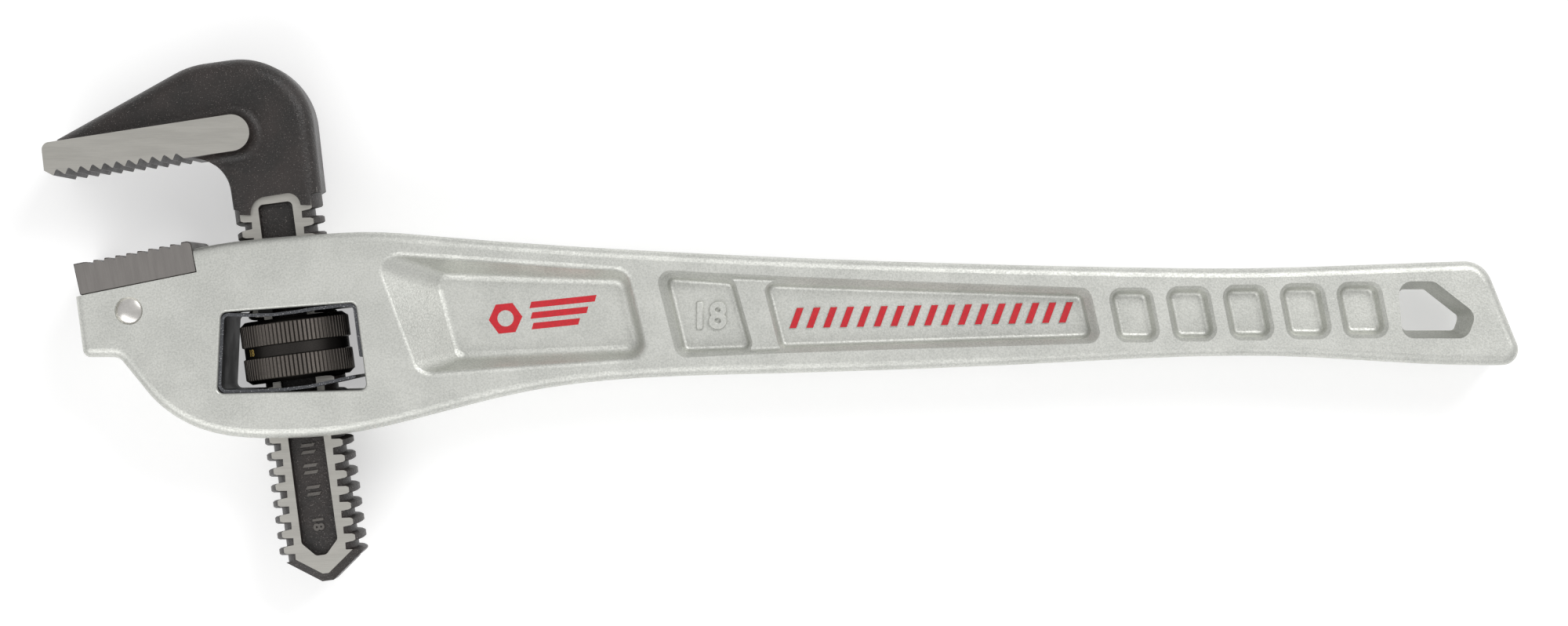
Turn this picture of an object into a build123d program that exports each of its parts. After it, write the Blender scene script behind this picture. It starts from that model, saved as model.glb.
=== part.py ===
"""Eighteen-inch offset pipe wrench with a cast aluminium handle, lying on its side.

Millimetres. X runs from the jaws to the handle's end, Y from the body to the hook
jaw's back, and Z through the wrench's thickness. Everything is drawn about the
wrench's middle plane and is moved at the end, so that the origin lies under the
middle of the finished wrench. The wrench is symmetric about its middle plane.
"""
from build123d import *
import math
import os

# Overall driving dimensions
HEAD_HALF = 17.5            # half thickness of the head
GRIP_HALF = 13.4            # half thickness of the handle at its waist
END_HALF = 14.0             # half thickness at the hanging end
EDGE_ROUND = 3.0            # rounding along the handle's outer edges
POCKET_DRAFT = 14           # slope of the sunk panels' walls, in degrees
POCKET_FLOOR_ROUND = 1.4    # rounding between a panel's floor and its walls
POCKET_BEVEL = 0.7          # depth of the bevel round a panel's mouth
POCKET_FLARE_RISE = 3.0
NECK_FLOOR_ROUND = 3.0
NECK_BRIM_ROUND = 2.0
RUN_GAP = 0.3               # clearance between pieces that move past each other
FIT_GAP = 0.05              # clearance of a seated or pinned piece

# The shank's own frame: origin at the nut's centre, +Y along the shank to the hook
NUT_CENTRE = (-156.4, -11.2)
SHANK_TILT = 7.5
ROCK_CLOSING = 2.0          # degrees that the hook jaw rocks towards the heel jaw
ROCK_OPENING = 1.5

# Thread, square-cut with bevelled crests, right-handed, single start
PITCH = 5.08
THREAD_MAJOR = 14.1
THREAD_MINOR = 11.5
THREAD_PHASE = -0.7         # height of a crest on the shank's right-hand side
CREST_BEVEL = 0.6
GROOVE_ROOT_HALF = 1.1
GROOVE_NECK_HALF = 1.35
GROOVE_MOUTH_HALF = 1.8

# Shank
SHANK_HALF = 8.15           # half thickness across its two ground flats
SHANK_TOP = 52.0
SHANK_END = -75.06
SHANK_POINT = -66.3         # height at which its pointed foot begins
SHANK_TIP_HALF = 1.8
SHANK_TIP_SHIFT = 0.8
SHANK_POINT_BEVEL = 2.6
THREAD_TOP = 43.0
RECESS_HALF = 5.2
RECESS_TOP = 46.3
RECESS_BOTTOM = -62.0
RECESS_TIP = -66.2
RECESS_DEPTH = 2.6

# Hook jaw
WEB_HALF = 10.0
JAW_HALF = 17.0
TOOTH_LINE = 64.05
HOOK_TOOTH_PITCH = 3.81
HOOK_TEETH = 11
HOOK_FIRST_ROOT = -65.8
HOOK_TOOTH_HEIGHT = 1.8
BACK_ROUND = 5.0
BLOCK_END = (-9.6, 70.1)    # centre of the tooth block's round end
BLOCK_END_RADIUS = 5.8
BLOCK_BLEND = 3.3           # rounding between the tooth block and the web
BLEND_FADE = 36.0           # length over which it fades along the block's back

# Heel jaw, in its own frame: origin at its lower right corner, +X along its seat
HEEL_ORIGIN = (-185.8, 12.9)
HEEL_TILT = 11.4
HEEL_LENGTH = 37.8
HEEL_HEIGHT = 10.25
HEEL_TOOTH_PITCH = 3.54
HEEL_TEETH = 9
HEEL_LAST_CREST = -3.0
HEEL_TOOTH_HEIGHT = 1.4
HEEL_BEVEL = 0.35
TONGUE_HALF = 6.0
TONGUE_LEFT = -30.5
TONGUE_RIGHT = -16.5
TONGUE_BOTTOM = -12.6
PIN_AT = (-23.5, -7.7)
PIN_RADIUS = 3.25
PIN_HEAD_RADIUS = 4.35
PIN_HEAD_HEIGHT = 1.0

# Nut
NUT_RADIUS = 17.45
NUT_HALF = 10.0
NUT_END_RADIUS = 15.6
NUT_BEVEL = 1.5
KNURLS = 80
KNURL_DEPTH = 0.4
NUT_BAND_HALF = 1.85        # half height of the smooth band between the knurls
NUT_BAND_DEPTH = 0.7

# Flat spring that lines the window
SPRING_THICK = 1.0
SPRING_HALF = 16.5
SPRING_LUG_WIDTH = 4.5
SPRING_LUGS = ((-166.6, -0.7), (-151.3, 0.8))      # lower left corners of its two lugs

# Coil spring and the button that it pushes against the shank
COIL_LEVEL = -22.6          # height of its axis in the shank's frame
COIL_BORE = 3.4
COIL_MEAN = 2.5
COIL_WIRE = 0.9
COIL_TURNS = 6
BUTTON_RADIUS = 2.6
BUTTON_FACE = THREAD_MAJOR + RUN_GAP
BUTTON_HEAD = 2.0
BUTTON_STEM = 4.5
COIL_LENGTH = 12.0

SHANK_FRAME = Location((*NUT_CENTRE, 0), (0, 0, SHANK_TILT))
HEEL_FRAME = Location((*HEEL_ORIGIN, 0), (0, 0, HEEL_TILT))
LONG_AXIS_UP = Location((0, 0, 0), (-90, 0, 0))     # turns +Z onto +Y, along the shank


def plate(face, half):
    """A flat face on the middle plane made into a plate, half to each side."""
    return extrude(face.moved(Location((0, 0, -half))), amount=2 * half)


def rounded_face(points, radius):
    """A polygon with every corner rounded."""
    face = make_face(Polyline(*points, close=True))
    return fillet(face.vertices(), radius)


def both_sides(tool):
    """A cutting tool and its mirror image across the wrench's middle plane."""
    return [tool, mirror(tool, about=Plane.XY)]


def round_corners(face, corners):
    """Rounds the named corners of a face: pairs of a place and a radius."""
    for place, radius in corners:
        nearest = min(face.vertices(), key=lambda v: (v.center() - Vector(*place)).length)
        face = fillet([nearest], radius)
    return face


# ---------------------------------------------------------------- handle and head

def handle_face():
    """The wrench body's outline, from the nose over the back to the nose again."""
    nose_top, nose_foot = (-225.4, 12.0), (-222.0, -14.0)
    throat, belly_end = (-210.7, -14.0), (-201.6, -25.2)
    back_start, back_end = (-186, 20.6), (212, 16.3)
    end_top, end_foot, belly_start = (222.4, 16.7), (236.0, -16.6), (221.8, -16.6)
    back = Spline(
        back_start, (-148.7, 24.9), (-131, 25.7), (-110.9, 24.4), (-50.4, 20.2),
        (50.4, 15.9), (131, 14.2), back_end,
        tangents=[(39.4, 8.6), (10.4, 0.4)],
    )
    belly = Spline(
        belly_start, (161.3, -13.8), (80.6, -16.1), (-10.1, -19.4), (-80.6, -24.7),
        (-110.9, -32.0), (-138.1, -38.1), (-162.8, -39.7), (-184.0, -37.0), belly_end,
        tangents=[(-1, 0), (-9.1, 11.2)],
    )
    face = make_face([
        back,
        Line(back_end, end_top),
        Line(end_top, end_foot),
        Line(end_foot, belly_start),
        belly,
        Line(belly_end, throat),
        Line(throat, nose_foot),
        Line(nose_foot, nose_top),
        Line(nose_top, back_start),
    ])
    return round_corners(face, [
        (end_top, 9.0), (end_foot, 5.0), (throat, 4.0), (nose_foot, 2.5), (nose_top, 2.0),
    ])


def side_face():
    """The body seen edge on: the thick head tapers into the thinner handle."""
    stations = [(-140, HEAD_HALF), (-60, 14.6), (40, GRIP_HALF), (250, END_HALF)]
    level = [(1, 0, 0), (1, 0, 0)]
    upper = Spline(*[(x, -60, z) for x, z in stations], tangents=level)
    lower = Spline(*[(x, -60, -z) for x, z in stations], tangents=level)
    return make_face([
        upper,
        lower,
        Line((-140, -60, HEAD_HALF), (-250, -60, HEAD_HALF)),
        Line((-250, -60, HEAD_HALF), (-250, -60, -HEAD_HALF)),
        Line((-250, -60, -HEAD_HALF), (-140, -60, -HEAD_HALF)),
        Line(upper @ 1, lower @ 1),
    ])


def handle_blank():
    """The body's outer shape with rounded edges."""
    blank = plate(handle_face(), 25) & extrude(side_face(), amount=120, dir=(0, 1, 0))
    rims = [e for e in blank.edges() if abs(e.center().Z) > 11]
    seam = [e for e in rims if abs(e.center().X + 140) < 0.1 and abs(e.tangent_at(0.5).X) < 0.01]
    return fillet([e for e in rims if e not in seam], EDGE_ROUND)


def window_face(inset=0.0):
    """The nut's window through the head."""
    face = rounded_face([(-178.2, 0.1), (-135.6, 3.3), (-132.0, -24.3), (-179.4, -25.5)], 2.0)
    return offset(face, amount=-inset) if inset else face


def shank_passages():
    """The openings above and below the window, wide enough for the jaw to rock."""
    closing, opening = math.tan(math.radians(ROCK_CLOSING)), math.tan(math.radians(ROCK_OPENING))
    side, neck_side, reach = THREAD_MAJOR + 0.4, 15.8, 50
    upper = Polyline(
        (-side, 0), (-side - 31 * closing, 31), (-side - 31 * closing - 7, 39),
        (-side - 31 * closing - 7, reach), (neck_side + reach * opening, reach), (neck_side, 0),
        close=True,
    )
    lower = Polyline(
        (-side, 0), (-side - reach * opening, -reach), (side + reach * closing, -reach), (side, 0),
        close=True,
    )
    neck = plate(make_face(upper), WEB_HALF + 0.4)
    thread = plate(make_face(lower), SHANK_HALF + 0.35)
    return [SHANK_FRAME * neck, SHANK_FRAME * thread]


def pocket(rim, radius, floor, rim_level=GRIP_HALF):
    """A sunk panel with sloping walls, as a tool for both faces of the handle.

    Its floor runs into its walls in a round, and its mouth is softened by a bevel.
    """
    slope = math.tan(math.radians(POCKET_DRAFT))
    face = rounded_face(rim, radius)
    foot = offset(face, amount=-slope * (rim_level - floor), kind=Kind.ARC)
    walls = extrude(foot.moved(Location((0, 0, floor))), amount=rim_level - floor,
                    taper=-POCKET_DRAFT)
    walls = fillet(walls.edges().group_by(Axis.Z)[0], POCKET_FLOOR_ROUND)
    brim = offset(face, amount=-slope * POCKET_BEVEL, kind=Kind.ARC)
    flare = extrude(brim.moved(Location((0, 0, rim_level - POCKET_BEVEL))),
                    amount=POCKET_FLARE_RISE, taper=-45)
    return both_sides(walls + flare)


def neck_pocket():
    """The panel beside the head, with a long shallow ramp at its left end."""
    floor = rounded_face([(-111.1, 12.4), (-51.0, 10.6), (-45.2, -12.2), (-103.8, -14.4)], 4.0)
    mouth = rounded_face([(-131.0, 19.2), (-49.4, 14.9), (-42.2, -15.2), (-117.0, -19.6)], 5.0)
    tool = loft([floor.moved(Location((0, 0, 7))), mouth.moved(Location((0, 0, 18)))], ruled=True)
    tool = fillet(tool.edges().group_by(Axis.Z)[0], NECK_FLOOR_ROUND)
    return both_sides(tool)


def grip_pockets():
    """The long shallow panel with its low rib, and the row of small grip pockets."""
    tools = pocket([(-39.8, 12.7), (96.5, 7.3), (100.3, -8.9), (-33.2, -13.3)], 3.0, 10.6)
    tools += pocket([(-38.2, 11.9), (-16.2, 10.4), (-9.8, -12.0), (-32.2, -12.8)], 2.6, 7.0,
                    rim_level=10.6)
    tools += pocket([(-6.4, 9.6), (95.2, 6.3), (98.6, -8.2), (-1.0, -11.4)], 2.6, 7.0,
                    rim_level=10.6)
    for step in range(5):
        left, top, foot = 103.3 + 18.1 * step, 7.3 + 0.42 * step, -8.6 + 0.4 * step
        rim = [(left, top), (left + 12.7, top), (left + 15.9, foot), (left + 3.2, foot)]
        tools += pocket(rim, 3.0, 8.6)
    return tools


def hang_hole():
    """The hole at the handle's end, narrowing towards the middle plane."""
    waist = rounded_face(
        [(197.5, 7.6), (205.6, 7.6), (216.8, -1.2), (215.2, -5.6), (198.6, -5.6)], 1.6)
    return both_sides(extrude(waist, amount=20, taper=-10))


def heel_seat():
    """The ledge and slot in the head's nose that take the heel jaw."""
    ledge = plate(make_face(Polyline((-60, 0), (FIT_GAP, 0), (FIT_GAP, 40), (-60, 40),
                                     close=True)), 25)
    slot = plate(make_face(Polyline(
        (TONGUE_LEFT - FIT_GAP, TONGUE_BOTTOM - FIT_GAP), (TONGUE_RIGHT + FIT_GAP,
        TONGUE_BOTTOM - FIT_GAP), (TONGUE_RIGHT + FIT_GAP, 1), (TONGUE_LEFT - FIT_GAP, 1),
        close=True)), TONGUE_HALF + FIT_GAP)
    hole = Location((*PIN_AT, 0)) * Cylinder(PIN_RADIUS + 0.02, 60)
    sink = Location((*PIN_AT, HEAD_HALF)) * Cylinder(PIN_HEAD_RADIUS + 0.1, 2 * PIN_HEAD_HEIGHT)
    return [HEEL_FRAME * tool for tool in [ledge, slot, hole] + both_sides(sink)]


def coil_bore():
    """The blind hole behind the shank that holds the coil spring."""
    length = BUTTON_HEAD + COIL_LENGTH + 2.2
    middle = THREAD_MAJOR - 1 + length / 2
    return SHANK_FRAME * (Location((middle, COIL_LEVEL, 0), (0, 90, 0)) * Cylinder(COIL_BORE, length))


def handle_body():
    """The cast aluminium handle with its head."""
    window = plate(window_face(), 25)
    body = handle_blank() - window
    rims = [e for e in body.edges() if abs(abs(e.center().Z) - HEAD_HALF) < 0.01
            and -182 < e.center().X < -130 and -27 < e.center().Y < 5]
    body = fillet(rims, 0.8)
    body -= neck_pocket()
    brims = [e for e in body.edges() if abs(e.center().Z) > 13.5
             and -131 < e.center().X < -42 and -19 < e.center().Y < 18]
    body = fillet(brims, NECK_BRIM_ROUND)
    body -= grip_pockets() + hang_hole()
    body -= heel_seat() + shank_passages() + [coil_bore()]
    return body


# ---------------------------------------------------------------- heel jaw and its pin

def heel_jaw():
    """The toothed steel block on the head's nose, with a tongue for its pin."""
    left_foot, left_top = (-HEEL_LENGTH + 0.1, 0.03), (-HEEL_LENGTH - 0.1, HEEL_HEIGHT)
    face = make_face(Polyline(
        (0, 0.03), (0, HEEL_HEIGHT), left_top, left_foot, close=True))
    face = round_corners(face, [((0, 0.03, 0), 0.6), ((0, HEEL_HEIGHT, 0), 1.6),
                                ((*left_foot, 0), 0.8)])
    block = plate(face, JAW_HALF)
    block = chamfer(block.edges().filter_by(lambda e: abs(abs(e.center().Z) - JAW_HALF) < 0.01),
                    HEEL_BEVEL)
    for tooth in range(HEEL_TEETH):
        crest = HEEL_LAST_CREST - HEEL_TOOTH_PITCH * tooth
        block -= plate(make_face(Polyline(
            (crest + 0.1, HEEL_HEIGHT + 1), (crest - 0.05, HEEL_HEIGHT),
            (crest - 0.5, HEEL_HEIGHT - HEEL_TOOTH_HEIGHT),
            (crest - 2.3, HEEL_HEIGHT - 0.15), (crest - 3.4, HEEL_HEIGHT + 0.02),
            (crest - 3.4, HEEL_HEIGHT + 1), close=True)), JAW_HALF + 1)
    tongue_face = make_face(Polyline(
        (TONGUE_LEFT, 1), (TONGUE_RIGHT, 1), (TONGUE_RIGHT, TONGUE_BOTTOM),
        (TONGUE_LEFT, TONGUE_BOTTOM), close=True))
    tongue_face = round_corners(tongue_face, [((TONGUE_LEFT, TONGUE_BOTTOM, 0), 3.0),
                                              ((TONGUE_RIGHT, TONGUE_BOTTOM, 0), 3.0)])
    jaw = block + plate(tongue_face, TONGUE_HALF)
    jaw -= Location((*PIN_AT, 0)) * Cylinder(PIN_RADIUS + 0.02, 60)
    return HEEL_FRAME * jaw


def dome(radius, height):
    """A low dome standing on the ground plane: the cap of a large ball."""
    ball = (radius ** 2 + height ** 2) / (2 * height)
    cap = Location((0, 0, height - ball)) * Sphere(ball)
    return cap & Cylinder(radius, height, align=(Align.CENTER, Align.CENTER, Align.MIN))


def heel_jaw_pin():
    """The pin through the head and the heel jaw's tongue, with a domed head each side."""
    under_head = HEAD_HALF - PIN_HEAD_HEIGHT + 0.01
    pin = Cylinder(PIN_RADIUS, 2 * under_head)
    head = Location((0, 0, under_head)) * dome(PIN_HEAD_RADIUS, PIN_HEAD_HEIGHT - 0.02)
    pin += both_sides(head)
    return HEEL_FRAME * (Location((*PIN_AT, 0)) * pin)


# ---------------------------------------------------------------- hook jaw

def web_face():
    """The hook's plate, from the tip over the back and down to the neck."""
    return make_face([
        Line((-66.6, 76.0), (-26.5, 92.0)),
        TangentArc((-26.5, 92.0), (-17.0, 93.9), tangent=(40.1, 16.0)),
        Line((-17.0, 93.9), (-8.3, 94.0)),
        ThreePointArc((-8.3, 94.0), (8.6, 86.9), (15.4, 70.2)),
        Line((15.4, 70.2), (15.0, 48.8)),
        Line((15.0, 48.8), (11.6, 47.8)),
        Line((11.6, 47.8), (11.4, 44.4)),
        Line((11.4, 44.4), (8.3, 44.9)),
        ThreePointArc((8.3, 44.9), (7.1, 48.0), (4.0, 49.2)),
        Line((4.0, 49.2), (-2.8, 49.0)),
        ThreePointArc((-2.8, 49.0), (-6.6, 47.4), (-8.1, 43.7)),
        Line((-8.1, 43.7), (-11.2, 44.2)),
        Line((-11.2, 44.2), (-11.4, 45.6)),
        Line((-11.4, 45.6), (-13.2, 46.2)),
        Line((-13.2, 46.2), (-13.3, 52.0)),
        ThreePointArc((-13.3, 52.0), (-16.6, 60.4), (-25.0, 64.2)),
        Line((-25.0, 64.2), (-27.0, 68.0)),
        Line((-27.0, 68.0), (-66.0, 68.0)),
        Line((-66.0, 68.0), (-66.6, 76.0)),
    ])


def tooth_block():
    """The wide block that carries the hook's teeth, round at its inner end."""
    face = make_face([
        Line((-69.7, 72.4), (-69.8, 65.9)),
        Line((-69.8, 65.9), (-67.2, TOOTH_LINE)),
        Line((-67.2, TOOTH_LINE), (-23.6, TOOTH_LINE)),
        Line((-23.6, TOOTH_LINE), (-9.4, 64.3)),
        ThreePointArc((-9.4, 64.3), (-3.8, 70.1), (-9.6, 75.9)),
        Line((-9.6, 75.9), (-67.4, 74.7)),
        ThreePointArc((-67.4, 74.7), (-69.0, 74.0), (-69.7, 72.4)),
    ])
    return plate(face, JAW_HALF)


def blend_section(wall, size):
    """A concave fillet's cross section: wall is its distance out, along X; Z is up."""
    foot, sunk = WEB_HALF, 0.3
    return make_face([
        Line((wall - sunk, 0, foot - sunk), (wall + size, 0, foot - sunk)),
        Line((wall + size, 0, foot - sunk), (wall + size, 0, foot)),
        ThreePointArc((wall + size, 0, foot),
                      (wall + size * (1 - math.sqrt(0.5)), 0, foot + size * (1 - math.sqrt(0.5))),
                      (wall, 0, foot + size)),
        Line((wall, 0, foot + size), (wall - sunk, 0, foot + size)),
        Line((wall - sunk, 0, foot + size), (wall - sunk, 0, foot - sunk)),
    ])


def block_blend():
    """The concave blend between the tooth block's round end and the web."""
    centre = Location((*BLOCK_END, 0))
    around = revolve(blend_section(BLOCK_END_RADIUS, BLOCK_BLEND), axis=Axis.Z,
                     revolution_arc=180)
    around = centre * (Rotation(0, 0, -90) * around)
    above = centre * (Rotation(0, 0, 90) * blend_section(BLOCK_END_RADIUS, BLOCK_BLEND))
    faded = (BLOCK_END[0] - BLEND_FADE, BLOCK_END[1] - 0.021 * BLEND_FADE, 0)
    far = Location(faded) * (Rotation(0, 0, 90) * blend_section(BLOCK_END_RADIUS, 0.5))
    top = loft([above, far], ruled=True)
    below = centre * (Rotation(0, 0, -90) * blend_section(BLOCK_END_RADIUS, BLOCK_BLEND))
    foot = extrude(below, amount=18, dir=(-1, 0, 0))
    blend = around + top + foot
    return [side & plate(web_face(), JAW_HALF) for side in both_sides(blend)]


def hook_teeth():
    """The notches between the hook's teeth."""
    notches = []
    for tooth in range(HOOK_TEETH):
        root = HOOK_FIRST_ROOT + HOOK_TOOTH_PITCH * tooth
        low, high = TOOTH_LINE - 0.5, TOOTH_LINE + HOOK_TOOTH_HEIGHT
        notch = make_face(Polyline((root - 1.5, low), (root - 0.35, high - 0.3),
                                   (root + 0.1, high), (root + 0.5, high - 0.25),
                                   (root + 2.75, low), close=True))
        notches.append(plate(notch, JAW_HALF + 1))
    return notches


def thread_groove(side):
    """One groove across a narrow side of the shank: +1 on the right, -1 on the left."""
    lead = math.degrees(math.atan(PITCH / (math.tau * (THREAD_MAJOR + THREAD_MINOR) / 2)))
    section = make_face(Polyline(
        (THREAD_MINOR, GROOVE_ROOT_HALF), (THREAD_MAJOR - CREST_BEVEL, GROOVE_NECK_HALF),
        (THREAD_MAJOR + 0.2, GROOVE_MOUTH_HALF + 0.1), (THREAD_MAJOR + 0.2, -GROOVE_MOUTH_HALF - 0.1),
        (THREAD_MAJOR - CREST_BEVEL, -GROOVE_NECK_HALF), (THREAD_MINOR, -GROOVE_ROOT_HALF),
        close=True))
    ring = Rotation(0, -50, 0) * revolve(section, axis=Axis.Y, revolution_arc=100)
    if side < 0:
        ring = Rotation(0, 180, 0) * ring
    return Rotation(side * lead, 0, 0) * ring


def shank_end():
    """The shank's plan, pointed at its foot, as a plate with bevelled points."""
    wide, tip = THREAD_MAJOR + 1, SHANK_TIP_HALF
    slope = (SHANK_POINT - SHANK_END) / (THREAD_MAJOR - tip - SHANK_TIP_SHIFT)
    end = make_face(Polyline(
        (SHANK_TIP_SHIFT - tip, SHANK_END), (SHANK_TIP_SHIFT + tip, SHANK_END),
        (wide, SHANK_END + slope * (wide - tip - SHANK_TIP_SHIFT)), (wide, SHANK_TOP),
        (-wide, SHANK_TOP), (-wide, SHANK_POINT + 1), close=True))
    end = plate(end, SHANK_HALF)
    points = [e for e in end.edges() if abs(abs(e.center().Z) - SHANK_HALF) < 0.01
              and e.center().Y < SHANK_POINT + 1]
    return chamfer(points, SHANK_POINT_BEVEL)


def threaded_shank():
    """The flat-sided screw, its grooves on the two narrow sides only."""
    half_section = make_face(Polyline(
        (0, SHANK_END), (THREAD_MAJOR, SHANK_END), (THREAD_MAJOR, SHANK_TOP), (0, SHANK_TOP),
        close=True))
    rod = revolve(half_section, axis=Axis.Y) & shank_end()
    right, left = thread_groove(1), thread_groove(-1)
    lowest = math.ceil((SHANK_END - THREAD_PHASE) / PITCH)
    highest = math.floor((THREAD_TOP - THREAD_PHASE) / PITCH)
    grooves = []
    for turn in range(lowest, highest + 1):
        level = THREAD_PHASE + PITCH * (turn + 0.5)
        grooves.append(Location((0, level, 0)) * right)
        grooves.append(Location((0, level - PITCH / 2, 0)) * left)
    return rod - grooves


def shank_recess():
    """The long sunk panel on each flat of the shank."""
    outline = make_face(Polyline(
        (-RECESS_HALF + 0.1, RECESS_TOP), (RECESS_HALF - 0.1, RECESS_TOP),
        (RECESS_HALF + 0.3, RECESS_BOTTOM), (1.6, RECESS_TIP), (-1.4, RECESS_TIP),
        (-RECESS_HALF - 0.1, RECESS_BOTTOM), close=True))
    outline = fillet(outline.vertices(), 1.2)
    start = outline.moved(Location((0, 0, SHANK_HALF - RECESS_DEPTH)))
    return both_sides(extrude(start, amount=5, taper=-8))


def hook_jaw():
    """The forged hook with its toothed block, neck and threaded shank."""
    web = plate(web_face(), WEB_HALF)
    back = [e for e in web.edges() if abs(abs(e.center().Z) - WEB_HALF) < 0.01
            and (e.center().Y > 77 or e.center().X > 14.8)]
    web = fillet(back, BACK_ROUND)
    throat = [e for e in web.edges() if abs(abs(e.center().Z) - WEB_HALF) < 0.01
              and e.center().X < -12.5 and 47 < e.center().Y < 63]
    web = fillet(throat, 1.5)
    jaw = web + tooth_block()
    jaw = jaw + block_blend()
    jaw = jaw + threaded_shank()
    jaw -= hook_teeth() + shank_recess()
    return SHANK_FRAME * jaw


# ---------------------------------------------------------------- adjusting nut

def nut_profile():
    """The nut's turned shape: bevelled ends and a smooth band between the knurls."""
    half_section = make_face(Polyline(
        (0, 0, 0), (NUT_RADIUS - NUT_BAND_DEPTH, 0, 0),
        (NUT_RADIUS - NUT_BAND_DEPTH, 0, NUT_BAND_HALF - 0.2), (NUT_RADIUS, 0, NUT_BAND_HALF + 0.2),
        (NUT_RADIUS, 0, NUT_HALF - NUT_BEVEL), (NUT_END_RADIUS, 0, NUT_HALF), (0, 0, NUT_HALF),
        close=True))
    upper = revolve(half_section, axis=Axis.Z)
    return upper + mirror(upper, about=Plane.XY)


def knurled_prism():
    """The straight ridges around the nut, over its whole height."""
    step = math.tau / KNURLS
    ring = []
    for ridge in range(KNURLS):
        for share, radius in ((-0.3, NUT_RADIUS), (0.3, NUT_RADIUS), (0.5, NUT_RADIUS - KNURL_DEPTH)):
            angle = (ridge + share) * step
            ring.append((radius * math.cos(angle), radius * math.sin(angle)))
    return extrude(make_face(Polyline(*ring, close=True)), amount=NUT_HALF + 1, both=True)


def nut_thread():
    """The right-handed groove inside the nut, a running gap wider than the shank's crest."""
    gap, half_pitch = RUN_GAP, PITCH / 2
    inner, outer = THREAD_MINOR - 0.2, THREAD_MAJOR + gap
    root_half = half_pitch - GROOVE_ROOT_HALF + gap + 0.02
    neck_half = half_pitch - GROOVE_NECK_HALF + gap
    crest_half = half_pitch - GROOVE_MOUTH_HALF + gap
    section = Polyline(
        (inner, 0, -root_half), (THREAD_MAJOR - CREST_BEVEL, 0, -neck_half), (outer, 0, -crest_half),
        (outer, 0, crest_half), (THREAD_MAJOR - CREST_BEVEL, 0, neck_half), (inner, 0, root_half),
        close=True)
    turns_below, turns = 3, 5.6
    path = Helix(PITCH, turns * PITCH, outer)
    groove = sweep(make_face(section), path=path, is_frenet=True)
    return Location((0, 0, THREAD_PHASE - turns_below * PITCH)) * groove


def adjusting_nut():
    """The knurled nut on the shank, standing in the head's window."""
    bore = Cylinder(THREAD_MINOR + RUN_GAP, 4 * NUT_HALF)
    nut = Cylinder(NUT_RADIUS + 0.5, 2 * NUT_HALF) - bore
    nut -= nut_thread()
    nut &= nut_profile()
    entry = Cone(THREAD_MINOR + RUN_GAP, THREAD_MAJOR + 2 * RUN_GAP, 2.0)
    nut -= both_sides(Location((0, 0, NUT_HALF - 0.99)) * entry)
    nut &= knurled_prism()
    return SHANK_FRAME * (LONG_AXIS_UP * nut)


# ---------------------------------------------------------------- springs and button

def flat_spring():
    """The spring-steel strip that lines the window and steadies the nut."""
    strip = FilletPolyline(
        (-133.98, -13.4), (-136.05, 2.6), (-141.2, 2.25), (-148.2, 1.45), (-154.6, 0.38),
        (-161.5, -0.5), (-169.0, -0.75), (-177.7, -0.45), (-178.8, -24.85), (-165.0, -24.6),
        (-158.0, -24.2), (-150.0, -23.2), (-141.5, -21.3), (-136.2, -20.1),
        radius=[1.6, 6, 12, 12, 12, 12, 1.9, 2.2, 12, 12, 12, 6])
    band = plate(make_face(offset(strip, amount=SPRING_THICK / 2, side=Side.BOTH)), SPRING_HALF)
    room = plate(window_face(inset=FIT_GAP), SPRING_HALF - 1)
    for left, foot in SPRING_LUGS:
        right = left + SPRING_LUG_WIDTH
        lug = make_face(Polyline((left, foot), (right, foot + 0.4), (right, 4), (left, 4), close=True))
        band += plate(lug, SPRING_HALF - 1) & room
    slot = plate(Rectangle(2 * (THREAD_MAJOR + 0.9), 50).face(), SHANK_HALF + 0.75)
    return band - (SHANK_FRAME * slot)


def coil_spring():
    """The small coil spring behind the shank."""
    height = COIL_LENGTH - COIL_WIRE - 0.1
    path = Helix(height / COIL_TURNS, height, COIL_MEAN)
    wire = Plane(origin=path @ 0, z_dir=path % 0) * Circle(COIL_WIRE / 2)
    coil = sweep(wire, path=path, is_frenet=True)
    start = BUTTON_FACE + BUTTON_HEAD + 0.05 + COIL_WIRE / 2
    return SHANK_FRAME * (Location((start, COIL_LEVEL, 0), (0, 90, 0)) * coil)


def spring_button():
    """The button at the coil spring's mouth, which bears on the shank's thread."""
    stand = (Align.CENTER, Align.CENTER, Align.MIN)
    crown = 0.7
    button = Location((0, 0, crown)) * Cylinder(BUTTON_RADIUS, BUTTON_HEAD - crown, align=stand)
    button += Location((0, 0, crown)) * (Rotation(180, 0, 0) * dome(BUTTON_RADIUS, crown))
    button += Location((0, 0, BUTTON_HEAD)) * Cylinder(1.5, BUTTON_STEM, align=stand)
    return SHANK_FRAME * (Location((BUTTON_FACE, COIL_LEVEL, 0), (0, 90, 0)) * button)


PIECES = {
    "handle_body": handle_body,
    "heel_jaw": heel_jaw,
    "heel_jaw_pin": heel_jaw_pin,
    "hook_jaw": hook_jaw,
    "adjusting_nut": adjusting_nut,
    "flat_spring": flat_spring,
    "coil_spring": coil_spring,
    "spring_button": spring_button,
}


def main():
    """Builds every piece, finds the ground point under the middle, and writes the files."""
    os.makedirs("parts", exist_ok=True)
    built = {name: make() for name, make in PIECES.items()}
    box = Compound(list(built.values())).bounding_box()
    middle = box.center()
    to_ground = Location((-middle.X, -middle.Y, -box.min.Z))
    for name, shape in built.items():
        export_step(to_ground * shape, f"parts/{name}.step")
    print("moved by", to_ground.position, "size", box.size)


if __name__ == "__main__":
    main()
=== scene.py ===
"""Finishes, markings and studio for an eighteen-inch offset pipe wrench.

The wrench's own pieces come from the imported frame. This file gives each one its finish, adds the
markings on the handle, the shank and the nut, and sets up the floor, the lights and the camera.
"""

import enum
import logging
import math
from dataclasses import dataclass, field, replace

import bmesh
import bpy
from mathutils import Matrix, Vector
from mathutils.bvhtree import BVHTree


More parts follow.
